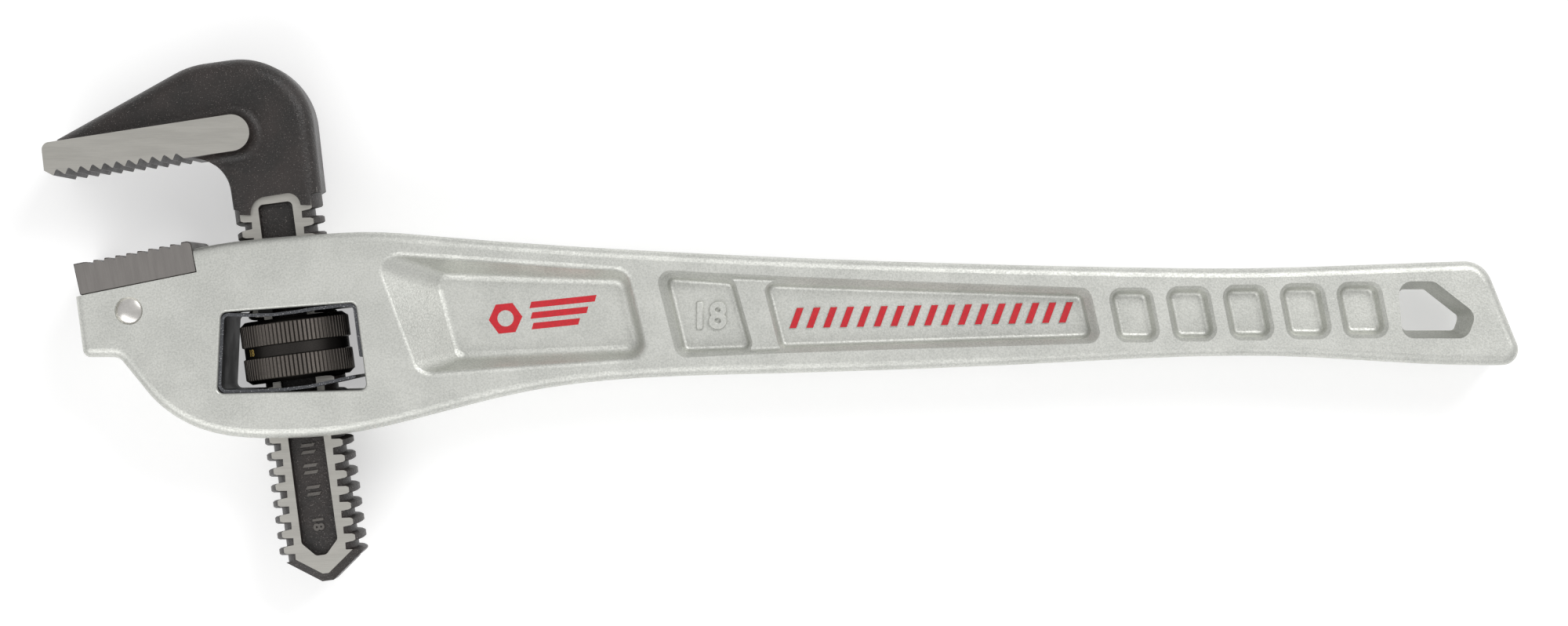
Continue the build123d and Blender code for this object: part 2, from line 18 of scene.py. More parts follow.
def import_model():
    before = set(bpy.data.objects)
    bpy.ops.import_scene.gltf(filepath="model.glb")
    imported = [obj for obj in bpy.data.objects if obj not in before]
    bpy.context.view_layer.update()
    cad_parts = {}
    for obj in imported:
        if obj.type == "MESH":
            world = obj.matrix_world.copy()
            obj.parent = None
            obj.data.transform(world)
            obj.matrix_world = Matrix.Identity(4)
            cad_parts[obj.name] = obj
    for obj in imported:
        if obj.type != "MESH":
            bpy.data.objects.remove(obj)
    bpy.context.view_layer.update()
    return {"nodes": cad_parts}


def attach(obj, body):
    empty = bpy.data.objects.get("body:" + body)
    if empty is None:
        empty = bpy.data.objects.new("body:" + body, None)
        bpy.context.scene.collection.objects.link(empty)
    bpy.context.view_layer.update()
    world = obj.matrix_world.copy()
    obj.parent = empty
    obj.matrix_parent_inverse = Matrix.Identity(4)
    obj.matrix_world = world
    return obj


LOG = logging.getLogger("pipe_wrench")
MM = 0.001
MIDDLE_LEVEL = 17.5                 # height of the wrench's middle plane, in millimetres
GROUND_SIDE_LEVEL = 16.93           # past this distance from it the jaws' sides are ground
ABOVE_EVERYTHING = 40.0             # a distance from it that is clear of the wrench
FONT_SIZE_PER_DIGIT_HEIGHT = 1.36
MERGE_DISTANCE = 0.001
Colour = tuple[float, float, float]


@dataclass(frozen=True)
class DrawingFrame:
    """A flat frame that a piece is drawn in, placed on the wrench.

    Attributes:
        origin: Where its zero lies, in millimetres.
        tilt: How far it is turned to the left, in degrees.
    """

    origin: tuple[float, float, float]
    tilt: float = 0.0

    def matrix(self) -> Matrix:
        """Returns the transform from this frame's millimetres to metres on the wrench."""
        turn = Matrix.Rotation(math.radians(self.tilt), 4, "Z")
        return Matrix.Translation(Vector(self.origin) * MM) @ turn @ Matrix.Scale(MM, 4)


HANDLE_FRAME = DrawingFrame((0.703, 2.32, MIDDLE_LEVEL))
SHANK_FRAME = DrawingFrame((-155.697, -8.88, MIDDLE_LEVEL), 7.5)
HEEL_FRAME = DrawingFrame((-185.097, 15.22, MIDDLE_LEVEL), 11.4)


class Face(enum.Enum):
    """Which broad side of the wrench a marking stands on."""

    FRONT = 1
    BACK = -1


# ------------------------------------------------------------------------------ shader plumbing


class Tree:
    """A node tree, with short calls for the nodes that the finishes are made of."""

    def __init__(self, nodes: bpy.types.NodeTree) -> None:
        """Wraps a material's or a group's node tree.

        Args:
            nodes: The tree to add to.
        """
        self.tree = nodes

    def add(self, kind: str, inputs: dict | None = None, **settings: object) -> bpy.types.Node:
        """Adds one node.

        Args:
            kind: The node's type, such as ShaderNodeMath.
            inputs: Socket name or number to a constant or to another node's socket.
            **settings: The node's own settings.

        Returns:
            The new node.
        """
        node = self.tree.nodes.new(kind)
        for name, value in settings.items():
            setattr(node, name, value)
        for name, value in (inputs or {}).items():
            self.feed(node, name, value)
        return node

    def feed(self, node: bpy.types.Node, name: str | int, value: object) -> None:
        """Sets one input of a node, by a link or by a constant.

        Args:
            node: The node.
            name: The input's name or number.
            value: A socket to link from, or a constant.
        """
        if isinstance(value, bpy.types.NodeSocket):
            self.tree.links.new(value, node.inputs[name])
        else:
            node.inputs[name].default_value = value

    def math(self, operation: str, first: object, second: object = 0.0) -> bpy.types.NodeSocket:
        """Returns the result of a math node on two values."""
        node = self.add("ShaderNodeMath", {0: first, 1: second}, operation=operation)
        return node.outputs[0]

    def step(self, value: object, start: float, end: float) -> bpy.types.NodeSocket:
        """Returns 0 where a value is below start and 1 above end, smooth in between."""
        node = self.add(
            "ShaderNodeMapRange",
            {"Value": value, "From Min": start, "From Max": end},
            interpolation_type="SMOOTHSTEP",
        )
        return node.outputs["Result"]

    def blend(self, share: object, first: object, second: object) -> bpy.types.NodeSocket:
        """Mixes two colours.

        Args:
            share: How much of the second, from 0 to 1.
            first: The colour at 0.
            second: The colour at 1.

        Returns:
            The mixed colour.
        """
        node = self.add("ShaderNodeMix", data_type="RGBA")
        for number, value in ((0, share), (6, first), (7, second)):
            self.feed(node, number, value if not isinstance(value, tuple) else (*value, 1.0))
        return node.outputs[2]

    def between(self, share: object, first: float, second: float) -> bpy.types.NodeSocket:
        """Returns a value that goes from first to second with share."""
        node = self.add("ShaderNodeMapRange", {"Value": share, "To Min": first, "To Max": second})
        return node.outputs["Result"]

    def parts(self, vector: object) -> bpy.types.NodeSocket:
        """Returns the X, Y and Z of a vector as three sockets."""
        return self.add("ShaderNodeSeparateXYZ", {0: vector}).outputs

    def scaled(self, vector: object, scale: tuple[float, float, float]) -> bpy.types.NodeSocket:
        """Returns a vector stretched along each axis."""
        return self.add("ShaderNodeMapping", {"Vector": vector, "Scale": scale}).outputs[0]


class EffectGroup:
    """A shared effect as a shader node group, made once and placed in many finishes."""

    name: str = ""
    inputs: tuple[tuple[str, str, float], ...] = ()
    outputs: tuple[str, ...] = ()

    def group(self) -> bpy.types.NodeTree:
        """Returns the effect's node group, and makes it the first time."""
        found = bpy.data.node_groups.get(self.name)
        if found:
            return found
        made = bpy.data.node_groups.new(self.name, "ShaderNodeTree")
        made.interface.new_socket("Place", in_out="INPUT", socket_type="NodeSocketVector")
        for label, kind, default in self.inputs:
            socket = made.interface.new_socket(label, in_out="INPUT", socket_type=kind)
            socket.default_value = default
        for label in self.outputs:
            made.interface.new_socket(label, in_out="OUTPUT", socket_type="NodeSocketFloat")
        tree = Tree(made)
        source = tree.add("NodeGroupInput")
        target = tree.add("NodeGroupOutput")
        self.wire(tree, source, target)
        return made

    def wire(self, tree: Tree, source: bpy.types.Node, target: bpy.types.Node) -> None:
        """Adds the effect's own nodes.

        Args:
            tree: The group's tree.
            source: The group's input node.
            target: The group's output node.
        """
        raise NotImplementedError

    def place(self, tree: Tree, **inputs: object) -> bpy.types.Node:
        """Puts the effect in a finish.

        Args:
            tree: The finish's tree.
            **inputs: The effect's inputs, with spaces in their names as underscores.

        Returns:
            The group's node.
        """
        node = tree.add("ShaderNodeGroup", node_tree=self.group())
        for label, value in inputs.items():
            tree.feed(node, label.replace("_", " "), value)
        return node


class BlastedGrain(EffectGroup):
    """The even, fine grain that shot-blasting leaves on a casting."""

    name = "Blasted grain"
    inputs = (("Grain Size", "NodeSocketFloat", 1.0), ("Patch Size", "NodeSocketFloat", 14.0))
    outputs = ("Speckle", "Patches", "Height")

    def wire(self, tree: Tree, source: bpy.types.Node, target: bpy.types.Node) -> None:
        """Mixes two grains with slow cloudy patches.

        Args:
            tree: The group's tree.
            source: The group's input node.
            target: The group's output node.
        """
        fine = tree.math("DIVIDE", 1.0, source.outputs["Grain Size"])
        slow = tree.math("DIVIDE", 1.0, source.outputs["Patch Size"])
        place = source.outputs["Place"]
        grain = tree.add("ShaderNodeTexNoise", {"Vector": place, "Scale": fine, "Detail": 3.0,
                                                "Roughness": 0.7})
        pits = tree.add("ShaderNodeTexVoronoi", {"Vector": place, "Scale": fine})
        cloud = tree.add("ShaderNodeTexNoise", {"Vector": place, "Scale": slow, "Detail": 2.0})
        rough = tree.math("MULTIPLY", pits.outputs["Distance"], 0.35)
        tree.feed(target, "Speckle", tree.step(grain.outputs[0], 0.3, 0.7))
        tree.feed(target, "Patches", tree.step(cloud.outputs[0], 0.35, 0.65))
        tree.feed(target, "Height", tree.math("ADD", grain.outputs[0], rough))


class GroundLines(EffectGroup):
    """The close parallel scratches of a ground face, which run along Y."""

    name = "Ground lines"
    inputs = (("Spacing", "NodeSocketFloat", 0.25), ("Length", "NodeSocketFloat", 8.0))
    outputs = ("Lines", "Bands")

    def wire(self, tree: Tree, source: bpy.types.Node, target: bpy.types.Node) -> None:
        """Stretches two noises along the grinding direction.

        Args:
            tree: The group's tree.
            source: The group's input node.
            target: The group's output node.
        """
        across = tree.math("DIVIDE", 1.0, source.outputs["Spacing"])
        along = tree.math("DIVIDE", 1.0, source.outputs["Length"])
        side, run, deep = tree.parts(source.outputs["Place"])
        thin = tree.add("ShaderNodeCombineXYZ", {
            0: tree.math("MULTIPLY", side, across), 1: tree.math("MULTIPLY", run, along),
            2: tree.math("MULTIPLY", deep, 0.2)})
        wide = tree.scaled(thin.outputs[0], (0.16, 0.6, 1.0))
        lines = tree.add("ShaderNodeTexNoise", {"Vector": thin.outputs[0], "Scale": 1.0,
                                                "Detail": 4.0, "Roughness": 0.75})
        bands = tree.add("ShaderNodeTexNoise", {"Vector": wide, "Scale": 1.0, "Detail": 2.0})
        tree.feed(target, "Lines", tree.step(lines.outputs[0], 0.25, 0.75))
        tree.feed(target, "Bands", tree.step(bands.outputs[0], 0.35, 0.65))


class ForgeScale(EffectGroup):
    """The uneven skin of an oxidised forging: shallow pits, grain and rubbed spots."""

    name = "Forge scale"
    inputs = (("Pit Size", "NodeSocketFloat", 1.1), ("Rubbing", "NodeSocketFloat", 0.5))
    outputs = ("Tone", "Rubbed", "Height")
    unrubbed_limit = 0.78
    limit_per_rubbing = 0.2
    fine_share = 0.45

    def wire(self, tree: Tree, source: bpy.types.Node, target: bpy.types.Node) -> None:
        """Mixes pits, grain and a thresholded noise for the rubbed spots.

        Args:
            tree: The group's tree.
            source: The group's input node.
            target: The group's output node.
        """
        pitch = tree.math("DIVIDE", 1.0, source.outputs["Pit Size"])
        place = source.outputs["Place"]
        skin = tree.add("ShaderNodeTexNoise", {"Vector": place, "Scale": pitch, "Detail": 4.0,
                                               "Roughness": 0.6})
        fine = tree.add("ShaderNodeTexNoise", {"Vector": place, "Scale": 2.6, "Detail": 2.0})
        slow = tree.add("ShaderNodeTexNoise", {"Vector": place, "Scale": 0.09, "Detail": 3.0})
        height = tree.math("ADD", skin.outputs[0],
                           tree.math("MULTIPLY", fine.outputs[0], self.fine_share))
        drop = tree.math("MULTIPLY", source.outputs["Rubbing"], self.limit_per_rubbing)
        limit = tree.math("SUBTRACT", self.unrubbed_limit, drop)
        spots = tree.math("SUBTRACT", fine.outputs[0], limit)
        tree.feed(target, "Tone", tree.step(slow.outputs[0], 0.3, 0.7))
        tree.feed(target, "Rubbed", tree.step(spots, 0.0, 0.08))
        tree.feed(target, "Height", height)


# -------------------------------------------------------------------------------------- finishes


@dataclass(frozen=True)
class Finish:
    """What every finish has: a name and the frame that its pattern is drawn in."""

    name: str
    place: DrawingFrame = HANDLE_FRAME

    def material(self) -> bpy.types.Material:
        """Returns the finish as a material."""
        made = bpy.data.materials.new(self.name)
        made.use_nodes = True
        tree = Tree(made.node_tree)
        shader = made.node_tree.nodes["Principled BSDF"]
        spot = tree.add("ShaderNodeTexCoord")
        local = tree.add(
            "ShaderNodeMapping",
            {"Vector": spot.outputs["Object"], "Location": Vector(self.place.origin) * MM,
             "Rotation": (0.0, 0.0, math.radians(self.place.tilt)), "Scale": (MM, MM, MM)},
            vector_type="TEXTURE",
        )
        self.dress(tree, shader, local.outputs[0])
        return made

    def dress(self, tree: Tree, shader: bpy.types.Node, place: bpy.types.NodeSocket) -> None:
        """Wires the finish's own nodes to the shader.

        Args:
            tree: The material's tree.
            shader: Its Principled shader.
            place: The point being shaded, in the finish's frame, in millimetres.
        """
        raise NotImplementedError

    @staticmethod
    def raise_surface(tree: Tree, shader: bpy.types.Node, height: object, depth: float) -> None:
        """Feeds the shader's normal from a height.

        Args:
            tree: The material's tree.
            shader: Its Principled shader.
            height: The height socket, from 0 to 1.
            depth: What a height of 1 stands for, in millimetres.
        """
        bump = tree.add("ShaderNodeBump", {"Height": height, "Distance": depth * MM})
        tree.feed(shader, "Normal", bump.outputs["Normal"])


@dataclass(frozen=True)
class CastAluminium(Finish):
    """Shot-blasted cast aluminium, pale grey with a fine sparkle."""

    light: Colour = (0.725, 0.730, 0.690)
    dark: Colour = (0.500, 0.508, 0.478)
    grain: float = 0.6
    depth: float = 0.06
    speckle_share: float = 0.75
    rough: tuple[float, float] = (0.56, 0.44)
    metal: float = 0.8

    def dress(self, tree: Tree, shader: bpy.types.Node, place: bpy.types.NodeSocket) -> None:
        """Wires the blasted grain to colour, roughness and surface.

        Args:
            tree: The material's tree.
            shader: Its Principled shader.
            place: The point being shaded, in the finish's frame, in millimetres.
        """
        effect = BlastedGrain().place(tree, Place=place, Grain_Size=self.grain)
        speckle, patches = effect.outputs["Speckle"], effect.outputs["Patches"]
        tone = tree.math("ADD", tree.math("MULTIPLY", speckle, self.speckle_share),
                         tree.math("MULTIPLY", patches, 1.0 - self.speckle_share))
        tree.feed(shader, "Base Color", tree.blend(tone, self.dark, self.light))
        tree.feed(shader, "Roughness", tree.between(speckle, *self.rough))
        shader.inputs["Metallic"].default_value = self.metal
        self.raise_surface(tree, shader, effect.outputs["Height"], self.depth)


@dataclass(frozen=True)
class GroundFlats:
    """Where a dark piece has been ground bright: a band of levels, below a limit along Y.

    Attributes:
        low: Least distance from the middle plane.
        high: Greatest distance from the middle plane.
        reach: Greatest Y.
    """

    low: float
    high: float = 99.0
    reach: float = 999.0

    def mask(self, tree: Tree, place: bpy.types.NodeSocket) -> bpy.types.NodeSocket:
        """Returns 1 on the ground faces and 0 elsewhere.

        Args:
            tree: The material's tree.
            place: The point being shaded, in the finish's frame.
        """
        _, run, level = tree.parts(place)
        away = tree.math("ABSOLUTE", level)
        inside = tree.math("MULTIPLY", tree.math("GREATER_THAN", away, self.low),
                           tree.math("LESS_THAN", away, self.high))
        return tree.math("MULTIPLY", inside, tree.math("LESS_THAN", run, self.reach))


@dataclass(frozen=True)
class OxidisedForging(Finish):
    """A black oxidised steel forging with some faces ground bright."""

    skin: Colour = (0.013, 0.011, 0.010)
    skin_brown: Colour = (0.024, 0.018, 0.016)
    rubbed: Colour = (0.16, 0.14, 0.13)
    bright: Colour = (0.56, 0.545, 0.505)
    bright_dark: Colour = (0.46, 0.448, 0.415)
    flats: tuple[GroundFlats, ...] = (GroundFlats(GROUND_SIDE_LEVEL),)
    lines_turn: float = 0.0
    line_spacing: float = 0.3
    line_share: float = 0.6
    rubbing: float = 0.5
    skin_rough: tuple[float, float] = (0.34, 0.46)
    ground_rough: tuple[float, float] = (0.42, 0.32)
    ground_metal: float = 0.9
    scratch: float = 0.06
    depth: float = 0.24

    def dress(self, tree: Tree, shader: bpy.types.Node, place: bpy.types.NodeSocket) -> None:
        """Wires the forge skin and the ground faces, each where it belongs.

        Args:
            tree: The material's tree.
            shader: Its Principled shader.
            place: The point being shaded, in the finish's frame, in millimetres.
        """
        scale = ForgeScale().place(tree, Place=place, Rubbing=self.rubbing)
        turned = tree.add("ShaderNodeMapping",
                          {"Vector": place, "Rotation": (0.0, 0.0, math.radians(self.lines_turn))})
        lines = GroundLines().place(tree, Place=turned.outputs[0], Spacing=self.line_spacing)
        ground = self.flats[0].mask(tree, place)
        for flat in self.flats[1:]:
            ground = tree.math("MAXIMUM", ground, flat.mask(tree, place))
        skin = tree.blend(scale.outputs["Tone"], self.skin, self.skin_brown)
        skin = tree.blend(scale.outputs["Rubbed"], skin, self.rubbed)
        tone = tree.math("ADD", tree.math("MULTIPLY", lines.outputs["Lines"], self.line_share),
                         tree.math("MULTIPLY", lines.outputs["Bands"], 1.0 - self.line_share))
        steel = tree.blend(tone, self.bright_dark, self.bright)
        tree.feed(shader, "Base Color", tree.blend(ground, skin, steel))
        skin_rough = tree.between(scale.outputs["Tone"], *self.skin_rough)
        steel_rough = tree.between(lines.outputs["Lines"], *self.ground_rough)
        rough = tree.add("ShaderNodeMix", {0: ground, 2: skin_rough, 3: steel_rough})
        tree.feed(shader, "Roughness", rough.outputs[0])
        tree.feed(shader, "Metallic", tree.math("MULTIPLY", ground, self.ground_metal))
        forged = tree.math("MULTIPLY", scale.outputs["Height"], tree.math("SUBTRACT", 1.0, ground))
        scratched = tree.math("MULTIPLY", lines.outputs["Lines"], self.scratch)
        cut = tree.math("MULTIPLY", scratched, ground)
        self.raise_surface(tree, shader, tree.math("ADD", forged, cut), self.depth)


@dataclass(frozen=True)
class PlainSteel(Finish):
    """Bare steel with a fine turned or drawn grain."""

    light: Colour = (0.62, 0.60, 0.58)
    dark: Colour = (0.48, 0.46, 0.45)
    rough: float = 0.3
    rough_swing: float = 0.15
    depth: float = 0.006
    grain: float = 0.5

    def dress(self, tree: Tree, shader: bpy.types.Node, place: bpy.types.NodeSocket) -> None:
        """Wires a fine grain to colour, roughness and surface.

        Args:
            tree: The material's tree.
            shader: Its Principled shader.
            place: The point being shaded, in the finish's frame, in millimetres.
        """
        effect = BlastedGrain().place(tree, Place=place, Grain_Size=self.grain, Patch_Size=5.0)
        tone = tree.math("ADD", tree.math("MULTIPLY", effect.outputs["Speckle"], 0.5),
                         tree.math("MULTIPLY", effect.outputs["Patches"], 0.5))
        tree.feed(shader, "Base Color", tree.blend(tone, self.dark, self.light))
        dull, keen = self.rough * (1.0 + self.rough_swing), self.rough * (1.0 - self.rough_swing)
        tree.feed(shader, "Roughness", tree.between(tone, dull, keen))
        shader.inputs["Metallic"].default_value = 1.0
        self.raise_surface(tree, shader, effect.outputs["Height"], self.depth)


@dataclass(frozen=True)
class KnurledSteel(Finish):
    """Dark phosphated steel, rubbed lighter on the crests of its knurl, with painted shade near
    black in its grooves.
    """

    crest: Colour = (0.155, 0.140, 0.128)
    # groove colour: near black, painted shade in the knurl's grooves
    groove_painted_shade: Colour = (0.012, 0.011, 0.010)
    band: Colour = (0.035, 0.032, 0.030)
    crest_radius: float = 17.3
    groove_radius: float = 17.0
    band_half: float = 1.95
    shade: Colour = (0.75, 0.75, 0.75)
    glint: Colour = (1.15, 1.13, 1.1)
    rough: tuple[float, float] = (0.46, 0.34)
    metal: float = 0.85
    depth: float = 0.02

    def dress(self, tree: Tree, shader: bpy.types.Node, place: bpy.types.NodeSocket) -> None:
        """Wires the rubbed crests and the painted shade in the grooves by their distance from the
        screw's line.

        Args:
            tree: The material's tree.
            shader: Its Principled shader.
            place: The point being shaded, in the finish's frame, in millimetres.
        """
        effect = BlastedGrain().place(tree, Place=place, Grain_Size=0.35, Patch_Size=4.0)
        across, run, level = tree.parts(place)
        flat = tree.add("ShaderNodeCombineXYZ", {0: across, 1: level})
        radius = tree.add("ShaderNodeVectorMath", {0: flat.outputs[0]}, operation="LENGTH")
        # from painted shade in the grooves up to the rubbed, lighter crests
        raised = tree.step(radius.outputs["Value"], self.groove_radius, self.crest_radius)
        knurl = tree.blend(raised, self.groove_painted_shade, self.crest)
        banded = tree.math("LESS_THAN", tree.math("ABSOLUTE", run), self.band_half)
        colour = tree.blend(banded, knurl, self.band)
        shade = tree.blend(effect.outputs["Speckle"], self.shade, self.glint)
        mixed = tree.add("ShaderNodeMix", data_type="RGBA", blend_type="MULTIPLY")
        tree.feed(mixed, 0, 1.0)
        tree.feed(mixed, 6, colour)
        tree.feed(mixed, 7, shade)
        tree.feed(shader, "Base Color", mixed.outputs[2])
        tree.feed(shader, "Roughness", tree.between(effect.outputs["Speckle"], *self.rough))
        shader.inputs["Metallic"].default_value = self.metal
        self.raise_surface(tree, shader, effect.outputs["Height"], self.depth)


@dataclass(frozen=True)
class SpringSteel(Finish):
    """Blackened spring strip, its faces darkened to near black as painted shade, with its cut
    edges rubbed grey.
    """

    # face: the strip's blackened finish, darkened further to near black as painted shade for the
    # dark inside of the nut's window
    face: Colour = (0.0018, 0.0018, 0.0020)
    edge: Colour = (0.085, 0.088, 0.095)
    bare: Colour = (0.45, 0.45, 0.46)
    edge_level: float = 16.35
    edge_fade: float = 0.1
    rough: tuple[float, float] = (0.45, 0.6)
    edge_metal: float = 0.7
    specular: float = 0.2
    depth: float = 0.03

    def dress(self, tree: Tree, shader: bpy.types.Node, place: bpy.types.NodeSocket) -> None:
        """Wires the near-black painted shade of the faces and the rubbed edges with breaks of bare
        metal.

        Args:
            tree: The material's tree.
            shader: Its Principled shader.
            place: The point being shaded, in the finish's frame, in millimetres.
        """
        scale = ForgeScale().place(tree, Place=place, Pit_Size=0.9, Rubbing=0.9)
        _, _, level = tree.parts(place)
        edge = tree.step(tree.math("ABSOLUTE", level), self.edge_level - self.edge_fade,
                         self.edge_level)
        grey = tree.blend(scale.outputs["Rubbed"], self.edge, self.bare)
        tree.feed(shader, "Base Color", tree.blend(edge, self.face, grey))
        tree.feed(shader, "Roughness", tree.between(scale.outputs["Tone"], *self.rough))
        tree.feed(shader, "Metallic", tree.math("MULTIPLY", edge, self.edge_metal))
        shader.inputs["Specular IOR Level"].default_value = self.specular
        self.raise_surface(tree, shader, scale.outputs["Height"], self.depth)


@dataclass(frozen=True)
class Enamel(Finish):
    """Printed or filled enamel paint over a blasted surface."""

    colour: Colour = (0.60, 0.010, 0.022)
    worn: Colour = (0.46, 0.012, 0.020)
    rough: tuple[float, float] = (0.38, 0.5)
    depth: float = 0.03

    def dress(self, tree: Tree, shader: bpy.types.Node, place: bpy.types.NodeSocket) -> None:
        """Wires a slight unevenness to the paint's colour and gloss.

        Args:
            tree: The material's tree.
            shader: Its Principled shader.
            place: The point being shaded, in the finish's frame, in millimetres.
        """
        effect = BlastedGrain().place(tree, Place=place, Grain_Size=0.8, Patch_Size=3.0)
        tree.feed(shader, "Base Color",
                  tree.blend(effect.outputs["Speckle"], self.worn, self.colour))
        tree.feed(shader, "Roughness", tree.between(effect.outputs["Patches"], *self.rough))
        shader.inputs["Metallic"].default_value = 0.0
        self.raise_surface(tree, shader, effect.outputs["Height"], self.depth)


# -------------------------------------------------------------------------------- mesh making


class Sketch:
    """A small flat shape, drawn in millimetres, that is raised from a surface as one piece."""

    ring_steps = 6
    flat_angle = 0.1

    def __init__(self) -> None:
        """Starts with nothing drawn."""
        self.mesh = bmesh.new()

    def polygon(self, corners: list[tuple[float, float]]) -> None:
        """Adds a flat outline from its corners, given anticlockwise."""
        self.mesh.faces.new([self.mesh.verts.new((x, y, 0.0)) for x, y in corners])

    def bar(self, centre: tuple[float, float], width: float, height: float, lean: float) -> None:
        """Adds an upright bar that leans to the right.

        Args:
            centre: Its middle.
            width: Its width.
            height: Its height.
            lean: How far its top is shifted to the right of its foot.
        """
        x, y = centre
        half, up, shift = width / 2, height / 2, lean / 2
        self.polygon([(x - half - shift, y - up), (x + half - shift, y - up),
                      (x + half + shift, y + up), (x - half + shift, y + up)])

    def ring(self, centre: tuple[float, float], sides: int, outer: float, inner: float) -> None:
        """Adds a ring with straight sides outside and a round hole.

        Args:
            centre: Its middle.
            sides: The number of outer sides.
            outer: Its outer radius.
            inner: Its hole's radius.
        """
        quarter_turn = Matrix.Rotation(-math.pi / 2, 4, "Z")
        move = Matrix.Translation((*centre, 0.0)) @ quarter_turn
        outside = bmesh.ops.create_circle(self.mesh, segments=sides, radius=outer, matrix=move)
        rim = list({edge for corner in outside["verts"] for edge in corner.link_edges})
        cut = bmesh.ops.subdivide_edges(self.mesh, edges=rim, cuts=self.ring_steps - 1)
        rim = [item for item in cut["geom"] if isinstance(item, bmesh.types.BMEdge)]
        inside = bmesh.ops.create_circle(self.mesh, segments=sides * self.ring_steps,
                                         radius=inner, matrix=move)
        hole = list({edge for point in inside["verts"] for edge in point.link_edges})
        bmesh.ops.bridge_loops(self.mesh, edges=rim + hole)

    def raised(self, height: float, bevel: float) -> bmesh.types.BMesh:
        """Raises everything drawn and rounds its edges.

        Args:
            height: How far it is raised.
            bevel: Width of the rounding round its top.

        Returns:
            The solid shape.
        """
        for face in self.mesh.faces:
            face.normal_update()
            if face.normal.z < 0:
                face.normal_flip()
        raised = bmesh.ops.extrude_face_region(self.mesh, geom=self.mesh.faces[:])
        tops = [v for v in raised["geom"] if isinstance(v, bmesh.types.BMVert)]
        bmesh.ops.translate(self.mesh, verts=tops, vec=(0, 0, height))
        if bevel:
            edges = [e for e in self.mesh.edges
                     if all(v.co.z > height / 2 for v in e.verts) and not self.flat_edge(e)]
            bmesh.ops.bevel(self.mesh, geom=edges, offset=bevel, segments=2, profile=0.5,
                            affect="EDGES", material=-1)
        bmesh.ops.recalc_face_normals(self.mesh, faces=self.mesh.faces[:])
        return self.mesh

    @staticmethod
    def flat_edge(edge: bmesh.types.BMEdge) -> bool:
        """Returns whether the faces on both sides of an edge lie in one plane."""
        return len(edge.link_faces) == 2 and edge.calc_face_angle(0.0) < Sketch.flat_angle


def finished(name: str, mesh: bmesh.types.BMesh, place: Matrix, finish: bpy.types.Material,
             body: str) -> bpy.types.Object:
    """Turns a drawn shape into a piece of the wrench.

    Args:
        name: The piece's name.
        mesh: Its shape.
        place: The transform that puts the shape on the wrench.
        finish: Its material.
        body: The frame's body that it moves with.

    Returns:
        The piece.
    """
    data = bpy.data.meshes.new(name)
    bmesh.ops.transform(mesh, matrix=place, verts=mesh.verts[:])
    bmesh.ops.recalc_face_normals(mesh, faces=mesh.faces[:])
    mesh.to_mesh(data)
    mesh.free()
    data.materials.append(finish)
    piece = bpy.data.objects.new(name, data)
    bpy.context.scene.collection.objects.link(piece)
    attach(piece, body)
    return piece


def numerals(text: str, height: float, thickness: float, weight: float) -> bmesh.types.BMesh:
    """Makes a raised number, centred on the origin.

    Args:
        text: The digits.
        height: Height of a digit, in millimetres.
        thickness: How far it is raised.
        weight: How much its strokes are thickened.

    Returns:
        The number's shape, in millimetres.
    """
    font = bpy.data.curves.new("size_number", "FONT")
    font.body = text
    font.align_x, font.align_y = "CENTER", "CENTER"
    font.size = height * FONT_SIZE_PER_DIGIT_HEIGHT
    font.extrude = thickness / 2
    font.offset = weight
    font.bevel_depth = thickness / 4
    font.bevel_resolution = 1
    holder = bpy.data.objects.new("size_number", font)
    bpy.context.scene.collection.objects.link(holder)
    graph = bpy.context.evaluated_depsgraph_get()
    flat = bpy.data.meshes.new_from_object(holder.evaluated_get(graph))
    mesh = bmesh.new()
    mesh.from_mesh(flat)
    bmesh.ops.remove_doubles(mesh, verts=mesh.verts[:], dist=MERGE_DISTANCE)
    bpy.data.objects.remove(holder)
    bpy.data.curves.remove(font)
    bpy.data.meshes.remove(flat)
    return mesh


# -------------------------------------------------------------------------------- sub-assemblies


class Surface:
    """The skin of a frame piece, to stand markings on."""

    def __init__(self, node: bpy.types.Object) -> None:
        """Reads a frame piece's faces.

        Args:
            node: The frame piece.
        """
        vertices = [v.co.copy() for v in node.data.vertices]
        faces = [tuple(p.vertices) for p in node.data.polygons]
        self.tree = BVHTree.FromPolygons(vertices, faces)

    def level(self, place: DrawingFrame, spot: tuple[float, float], face: Face) -> float:
        """Finds how far the skin is from the middle plane.

        Args:
            place: The frame that the spot is given in.
            spot: X and Y of the spot, in millimetres.
            face: The side of the wrench.

        Returns:
            The distance, in millimetres.
        """
        start = place.matrix() @ Vector((*spot, ABOVE_EVERYTHING * face.value))
        hit, _, _, _ = self.tree.ray_cast(start, Vector((0.0, 0.0, -face.value)))
        return abs(hit.z / MM - MIDDLE_LEVEL)

    def stand(self, place: DrawingFrame, spot: tuple[float, float], face: Face,
              sunk: float = 0.02, tilt: float = 0.0) -> Matrix:
        """Makes the transform that stands a marking on the skin.

        Args:
            place: The frame that the spot is given in.
            spot: Where the marking's centre goes, in millimetres.
            face: The side of the wrench.
            sunk: How far its foot is let into the skin.
            tilt: How far the marking is turned, in degrees.

        Returns:
            The transform, from the marking's millimetres to metres on the wrench.
        """
        height = (self.level(place, spot, face) - sunk) * face.value
        turn = Matrix.Rotation(math.pi, 4, "Y") if face is Face.BACK else Matrix()
        lean = Matrix.Rotation(math.radians(tilt * face.value), 4, "Z")
        return place.matrix() @ Matrix.Translation((*spot, height)) @ lean @ turn


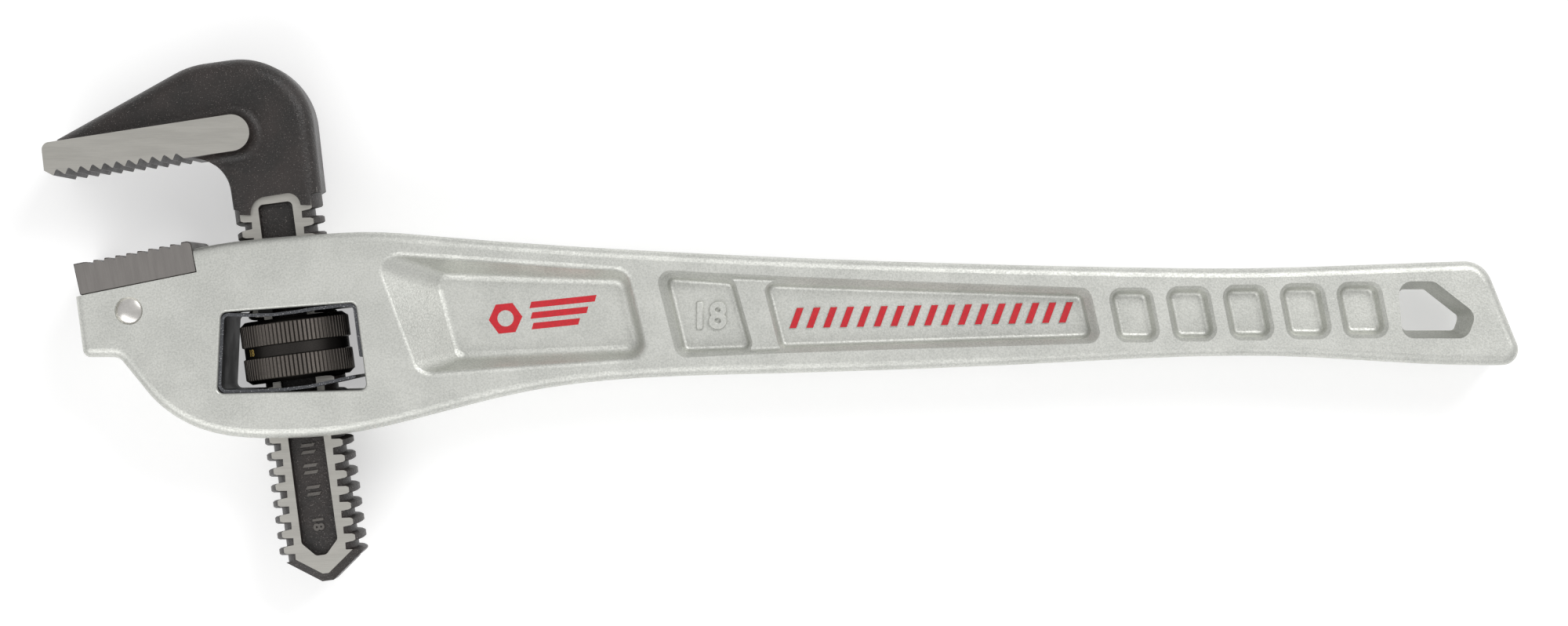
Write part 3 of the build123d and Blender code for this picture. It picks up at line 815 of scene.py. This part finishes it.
@dataclass
class CastHandle:
    """The cast handle with its head, the heel jaw, the pin and the springs in it."""

    size_text: str = "18"
    size_spot: tuple[float, float] = (-24.0, -1.2)
    size_height: float = 8.4
    size_rise: float = 0.9
    size_weight: float = 0.22
    stripe_start: tuple[float, float] = (4.0, -1.6)
    stripe_end: tuple[float, float] = (90.0, 0.2)
    stripe_count: int = 17
    stripe_size: tuple[float, float] = (2.3, 6.6)
    stripe_lean: float = 2.6
    stripe_rise: float = 0.8
    stripe_bevel: float = 0.25
    painted_slope: float = 0.6
    badge_spot: tuple[float, float] = (-76.5, -0.4)
    badge_tilt: float = 6.0
    badge_nut: tuple[float, float] = (-12.5, 0.0)
    badge_nut_radius: float = 5.4
    badge_hole_radius: float = 2.6
    badge_bars: tuple[float, ...] = (21.0, 18.0, 15.0)
    badge_bar_start: float = -4.6
    badge_bar_half: float = 1.0
    badge_bar_lean: float = 0.8
    badge_bar_step: float = 3.4
    ink_thickness: float = 0.06
    cast: Finish = CastAluminium("blasted_cast_aluminium")
    paint: Finish = Enamel("red_enamel")
    heel: Finish = OxidisedForging(
        "ground_heel_steel", HEEL_FRAME, skin=(0.045, 0.040, 0.037),
        skin_brown=(0.070, 0.060, 0.055), bright=(0.315, 0.297, 0.283),
        bright_dark=(0.255, 0.240, 0.230), line_spacing=0.22)
    pin: Finish = PlainSteel("polished_pin_steel", HEEL_FRAME, light=(0.80, 0.78, 0.75),
                             dark=(0.62, 0.60, 0.57), rough=0.27, depth=0.01, grain=1.2)
    strip: Finish = SpringSteel("black_spring_strip_painted_shade")
    wire: Finish = PlainSteel("bright_spring_wire", SHANK_FRAME, grain=0.3)
    made: list[bpy.types.Object] = field(default_factory=list)

    def build(self, nodes: dict[str, bpy.types.Object]) -> None:
        """Dresses the castings and adds the handle's markings.

        Args:
            nodes: The frame's pieces by name.
        """
        cast, red = self.cast.material(), self.paint.material()
        dress(nodes["handle_body"], cast)
        skin = Surface(nodes["handle_body"])
        for face in Face:
            side = face.name.lower()
            self.add_size_number(skin, face, cast, side)
            self.add_stripes(skin, face, cast, red, side)
            self.add_badge(skin, face, red, side)
        dress(nodes["heel_jaw"], self.heel.material())
        dress(nodes["heel_jaw_pin"], self.pin.material())
        dress(nodes["flat_spring"], self.strip.material())
        dress(nodes["coil_spring"], self.wire.material())

    def add_size_number(self, skin: Surface, face: Face, cast: bpy.types.Material,
                        side: str) -> None:
        """Adds the raised size number in the short panel.

        Args:
            skin: The handle's surface.
            face: The broad side that it goes on.
            cast: The handle's own material.
            side: The side's name, for the piece's name.
        """
        mesh = numerals(self.size_text, self.size_height, self.size_rise, self.size_weight)
        bmesh.ops.translate(mesh, verts=mesh.verts[:], vec=(0, 0, self.size_rise / 2))
        place = skin.stand(HANDLE_FRAME, self.size_spot, face)
        self.made.append(finished(f"size_number_{side}", mesh, place, cast, "handle"))

    def add_stripes(self, skin: Surface, face: Face, cast: bpy.types.Material,
                    red: bpy.types.Material, side: str) -> None:
        """Adds the row of raised, leaning stripes in the long panel, painted on top.

        Args:
            skin: The handle's surface.
            face: The broad side that it goes on.
            cast: The handle's own material.
            red: The paint on the stripes' tops.
            side: The side's name, for the piece's name.
        """
        start, end = Vector(self.stripe_start), Vector(self.stripe_end)
        run = end - start
        middle = start + run / 2
        sketch = Sketch()
        for number in range(self.stripe_count):
            along = (number / (self.stripe_count - 1) - 0.5) * run.length
            sketch.bar((along, 0.0), *self.stripe_size, self.stripe_lean)
        tilt = math.degrees(math.atan2(run.y, run.x))
        place = skin.stand(HANDLE_FRAME, tuple(middle), face, tilt=tilt * face.value)
        mesh = sketch.raised(self.stripe_rise, self.stripe_bevel)
        stripes = finished(f"raised_stripes_{side}", mesh, place, cast, "handle")
        stripes.data.materials.append(red)
        for polygon in stripes.data.polygons:
            polygon.material_index = int(abs(polygon.normal.z) > self.painted_slope)
        self.made.append(stripes)

    def add_badge(self, skin: Surface, face: Face, red: bpy.types.Material, side: str) -> None:
        """Adds the printed badge beside the head: a nut's outline and three bars.

        Args:
            skin: The handle's surface.
            face: The broad side that it goes on.
            red: The badge's ink.
            side: The side's name, for the piece's name.
        """
        sketch = Sketch()
        sketch.ring(self.badge_nut, 6, self.badge_nut_radius, self.badge_hole_radius)
        left, lean, half = self.badge_bar_start, self.badge_bar_lean, self.badge_bar_half
        for number, length in enumerate(self.badge_bars):
            y = self.badge_bar_step * (1 - number)
            sketch.polygon([(left, y - half), (left + length, y - half),
                            (left + lean + length, y + half), (left + lean, y + half)])
        place = skin.stand(HANDLE_FRAME, self.badge_spot, face, tilt=self.badge_tilt * face.value)
        self.made.append(finished(f"printed_badge_{side}", sketch.raised(self.ink_thickness, 0.0),
                                  place, red, "handle"))


@dataclass
class JawAndNut:
    """The hook jaw with its screw, the nut that moves it and the button behind it."""

    size_text: str = "18"
    bar_levels: tuple[float, ...] = (-33.5, -40.0, -47.0)
    bar_pair_step: float = 2.2
    bar_size: tuple[float, float] = (4.4, 1.1)
    bar_lean: float = 0.8
    bar_rise: float = 0.6
    bar_bevel: float = 0.15
    number_level: float = -56.5
    number_height: float = 3.4
    number_rise: float = 0.5
    number_weight: float = 0.08
    number_lift: float = 0.17
    nut_radius: float = 16.75
    nut_number_angle: float = 52.0
    nut_number_height: float = 2.3
    nut_number_rise: float = 0.04
    nut_number_weight: float = 0.03
    nut_number_gap: float = 0.03
    forging: OxidisedForging = OxidisedForging(
        "black_forged_steel", SHANK_FRAME, lines_turn=97.0, rubbing=0.75,
        flats=(GroundFlats(GROUND_SIDE_LEVEL), GroundFlats(8.11, 8.19, 49.8)))
    nut: Finish = KnurledSteel("phosphated_nut_steel_groove_shade", SHANK_FRAME)
    button: Finish = PlainSteel("button_steel", SHANK_FRAME, grain=0.4)
    gilt: Finish = Enamel("gilt_paint", SHANK_FRAME, colour=(0.42, 0.30, 0.08),
                          worn=(0.25, 0.17, 0.05), depth=0.005)
    made: list[bpy.types.Object] = field(default_factory=list)

    def build(self, nodes: dict[str, bpy.types.Object]) -> None:
        """Dresses the jaw, the nut and the button, and adds their markings.

        Args:
            nodes: The frame's pieces by name.
        """
        # the raised marks get a lighter skin: part rubbed wear, part painted highlight
        rubbed = replace(self.forging, name="rubbed_forged_steel_painted_highlight", skin=(0.075, 0.068, 0.062),
                         skin_brown=(0.12, 0.11, 0.10))
        dress(nodes["hook_jaw"], self.forging.material())
        dress(nodes["adjusting_nut"], self.nut.material())
        dress(nodes["spring_button"], self.button.material())
        marking = rubbed.material()
        skin = Surface(nodes["hook_jaw"])
        for face in Face:
            self.add_scale(skin, face, marking)
        self.add_nut_number()

    def add_scale(self, skin: Surface, face: Face, rubbed: bpy.types.Material) -> None:
        """Adds the raised bars and the size number in the shank's sunk panel.

        Args:
            skin: The jaw's surface.
            face: The broad side that they go on.
            rubbed: Their material, lighter for rubbed wear and painted highlight.
        """
        side = face.name.lower()
        middle = self.bar_levels[1]
        sketch = Sketch()
        for level in self.bar_levels:
            for step in (0.0, self.bar_pair_step):
                sketch.bar((0.0, level - middle + step), *self.bar_size, self.bar_lean)
        place = skin.stand(SHANK_FRAME, (0.0, middle), face)
        bars = sketch.raised(self.bar_rise, self.bar_bevel)
        self.made.append(finished(f"shank_bars_{side}", bars, place, rubbed, "jaw"))
        mesh = numerals(self.size_text, self.number_height, self.number_rise, self.number_weight)
        bmesh.ops.translate(mesh, verts=mesh.verts[:], vec=(0, 0, self.number_lift))
        place = skin.stand(SHANK_FRAME, (0.0, self.number_level), face, tilt=-90.0 * face.value)
        self.made.append(finished(f"shank_number_{side}", mesh, place, rubbed, "jaw"))

    def add_nut_number(self) -> None:
        """Adds the small gilt size number, wrapped round the nut's smooth band."""
        mesh = numerals(self.size_text, self.nut_number_height, self.nut_number_rise,
                        self.nut_number_weight)
        start = math.radians(self.nut_number_angle)
        for vertex in mesh.verts:
            angle = start - vertex.co.x / self.nut_radius
            radius = self.nut_radius + self.nut_number_gap + vertex.co.z
            vertex.co = Vector((-radius * math.sin(angle), vertex.co.y, radius * math.cos(angle)))
        self.made.append(finished("nut_number", mesh, SHANK_FRAME.matrix(), self.gilt.material(),
                                  "nut"))


def dress(node: bpy.types.Object, finish: bpy.types.Material) -> None:
    """Gives a frame piece its finish.

    Args:
        node: The frame piece.
        finish: Its material.
    """
    for slot in node.material_slots:
        slot.material = finish
    LOG.info("%s: finished in %s", node.name, finish.name)


# ----------------------------------------------------------------------------------------- studio


@dataclass(frozen=True)
class LightPanel:
    """A soft light panel aimed at the wrench.

    Attributes:
        name: Its name.
        spot: Its centre, in metres.
        size: Its width and height.
        power: Its power in watts.
    """

    name: str
    spot: tuple[float, float, float]
    size: tuple[float, float]
    power: float

    def add(self) -> None:
        """Adds the panel to the scene."""
        light = bpy.data.lights.new(self.name, "AREA")
        light.shape = "RECTANGLE"
        light.size, light.size_y = self.size
        light.energy = self.power
        holder = bpy.data.objects.new(self.name, light)
        holder.location = self.spot
        holder.rotation_euler = Vector(self.spot).to_track_quat("Z", "Y").to_euler()
        bpy.context.scene.collection.objects.link(holder)


@dataclass
class Studio:
    """The pale floor, the soft lights and the camera straight above the wrench."""

    panels: tuple[LightPanel, ...] = (
        LightPanel("key_panel", (0.55, 0.75, 1.05), (0.7, 0.45), 8.0),
        LightPanel("fill_panel", (-0.4, -0.85, 0.95), (1.4, 0.7), 6.5),
    )
    camera_height: float = 1.1
    camera_lens: float = 78.57
    camera_sensor: float = 36.0
    camera_clip: tuple[float, float] = (0.05, 20.0)
    floor_size: float = 8.0
    floor_colour: Colour = (0.68, 0.68, 0.68)
    floor_glow: float = 0.44
    floor_rough: float = 0.95
    floor_specular: float = 0.1
    zenith: float = 0.60
    horizon: float = 0.50

    def build(self) -> None:
        """Makes the floor, the sky, the lights and the camera."""
        self.add_floor()
        self.add_sky()
        for panel in self.panels:
            panel.add()
        self.add_camera()
        bpy.context.scene.view_settings.view_transform = "Standard"

    def add_floor(self) -> None:
        """Adds the floor that the wrench lies on."""
        mesh = bmesh.new()
        bmesh.ops.create_grid(mesh, x_segments=1, y_segments=1, size=self.floor_size / 2)
        data = bpy.data.meshes.new("studio_floor")
        mesh.to_mesh(data)
        mesh.free()
        paper = bpy.data.materials.new("studio_paper")
        paper.use_nodes = True
        shader = paper.node_tree.nodes["Principled BSDF"]
        shader.inputs["Base Color"].default_value = (*self.floor_colour, 1.0)
        shader.inputs["Roughness"].default_value = self.floor_rough
        shader.inputs["Specular IOR Level"].default_value = self.floor_specular
        shader.inputs["Emission Color"].default_value = (1.0, 1.0, 1.0, 1.0)
        shader.inputs["Emission Strength"].default_value = self.floor_glow
        data.materials.append(paper)
        floor = bpy.data.objects.new("studio_floor", data)
        bpy.context.scene.collection.objects.link(floor)

    def add_sky(self) -> None:
        """Adds the surround: brightest overhead, dimmer towards the sides."""
        world = bpy.data.worlds.new("studio_surround")
        bpy.context.scene.world = world
        world.use_nodes = True
        tree = Tree(world.node_tree)
        spot = tree.add("ShaderNodeTexCoord")
        _, _, up = tree.parts(spot.outputs["Generated"])
        rise = tree.step(up, 0.0, 1.0)
        strength = tree.between(rise, self.horizon, self.zenith)
        background = world.node_tree.nodes["Background"]
        tree.feed(background, "Strength", strength)
        background.inputs["Color"].default_value = (1, 1, 1, 1)

    def add_camera(self) -> None:
        """Adds the camera, looking straight down."""
        data = bpy.data.cameras.new("studio_camera")
        data.lens = self.camera_lens
        data.sensor_width = self.camera_sensor
        data.sensor_fit = "HORIZONTAL"
        data.clip_start, data.clip_end = self.camera_clip
        camera = bpy.data.objects.new("studio_camera", data)
        x, y, level = (v * MM for v in HANDLE_FRAME.origin)
        camera.location = (x, y, level + self.camera_height)
        bpy.context.scene.collection.objects.link(camera)
        bpy.context.scene.camera = camera


def main() -> None:
    """Loads the frame, dresses it, adds the markings and sets up the studio."""
    logging.basicConfig(level=logging.INFO, format="%(message)s")
    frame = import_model()
    handle, jaw = CastHandle(), JawAndNut()
    handle.build(frame["nodes"])
    jaw.build(frame["nodes"])
    for piece in (*handle.made, *jaw.made):
        LOG.info("%s: %d faces", piece.name, len(piece.data.polygons))
    Studio().build()


if __name__ == "__main__":
    main()
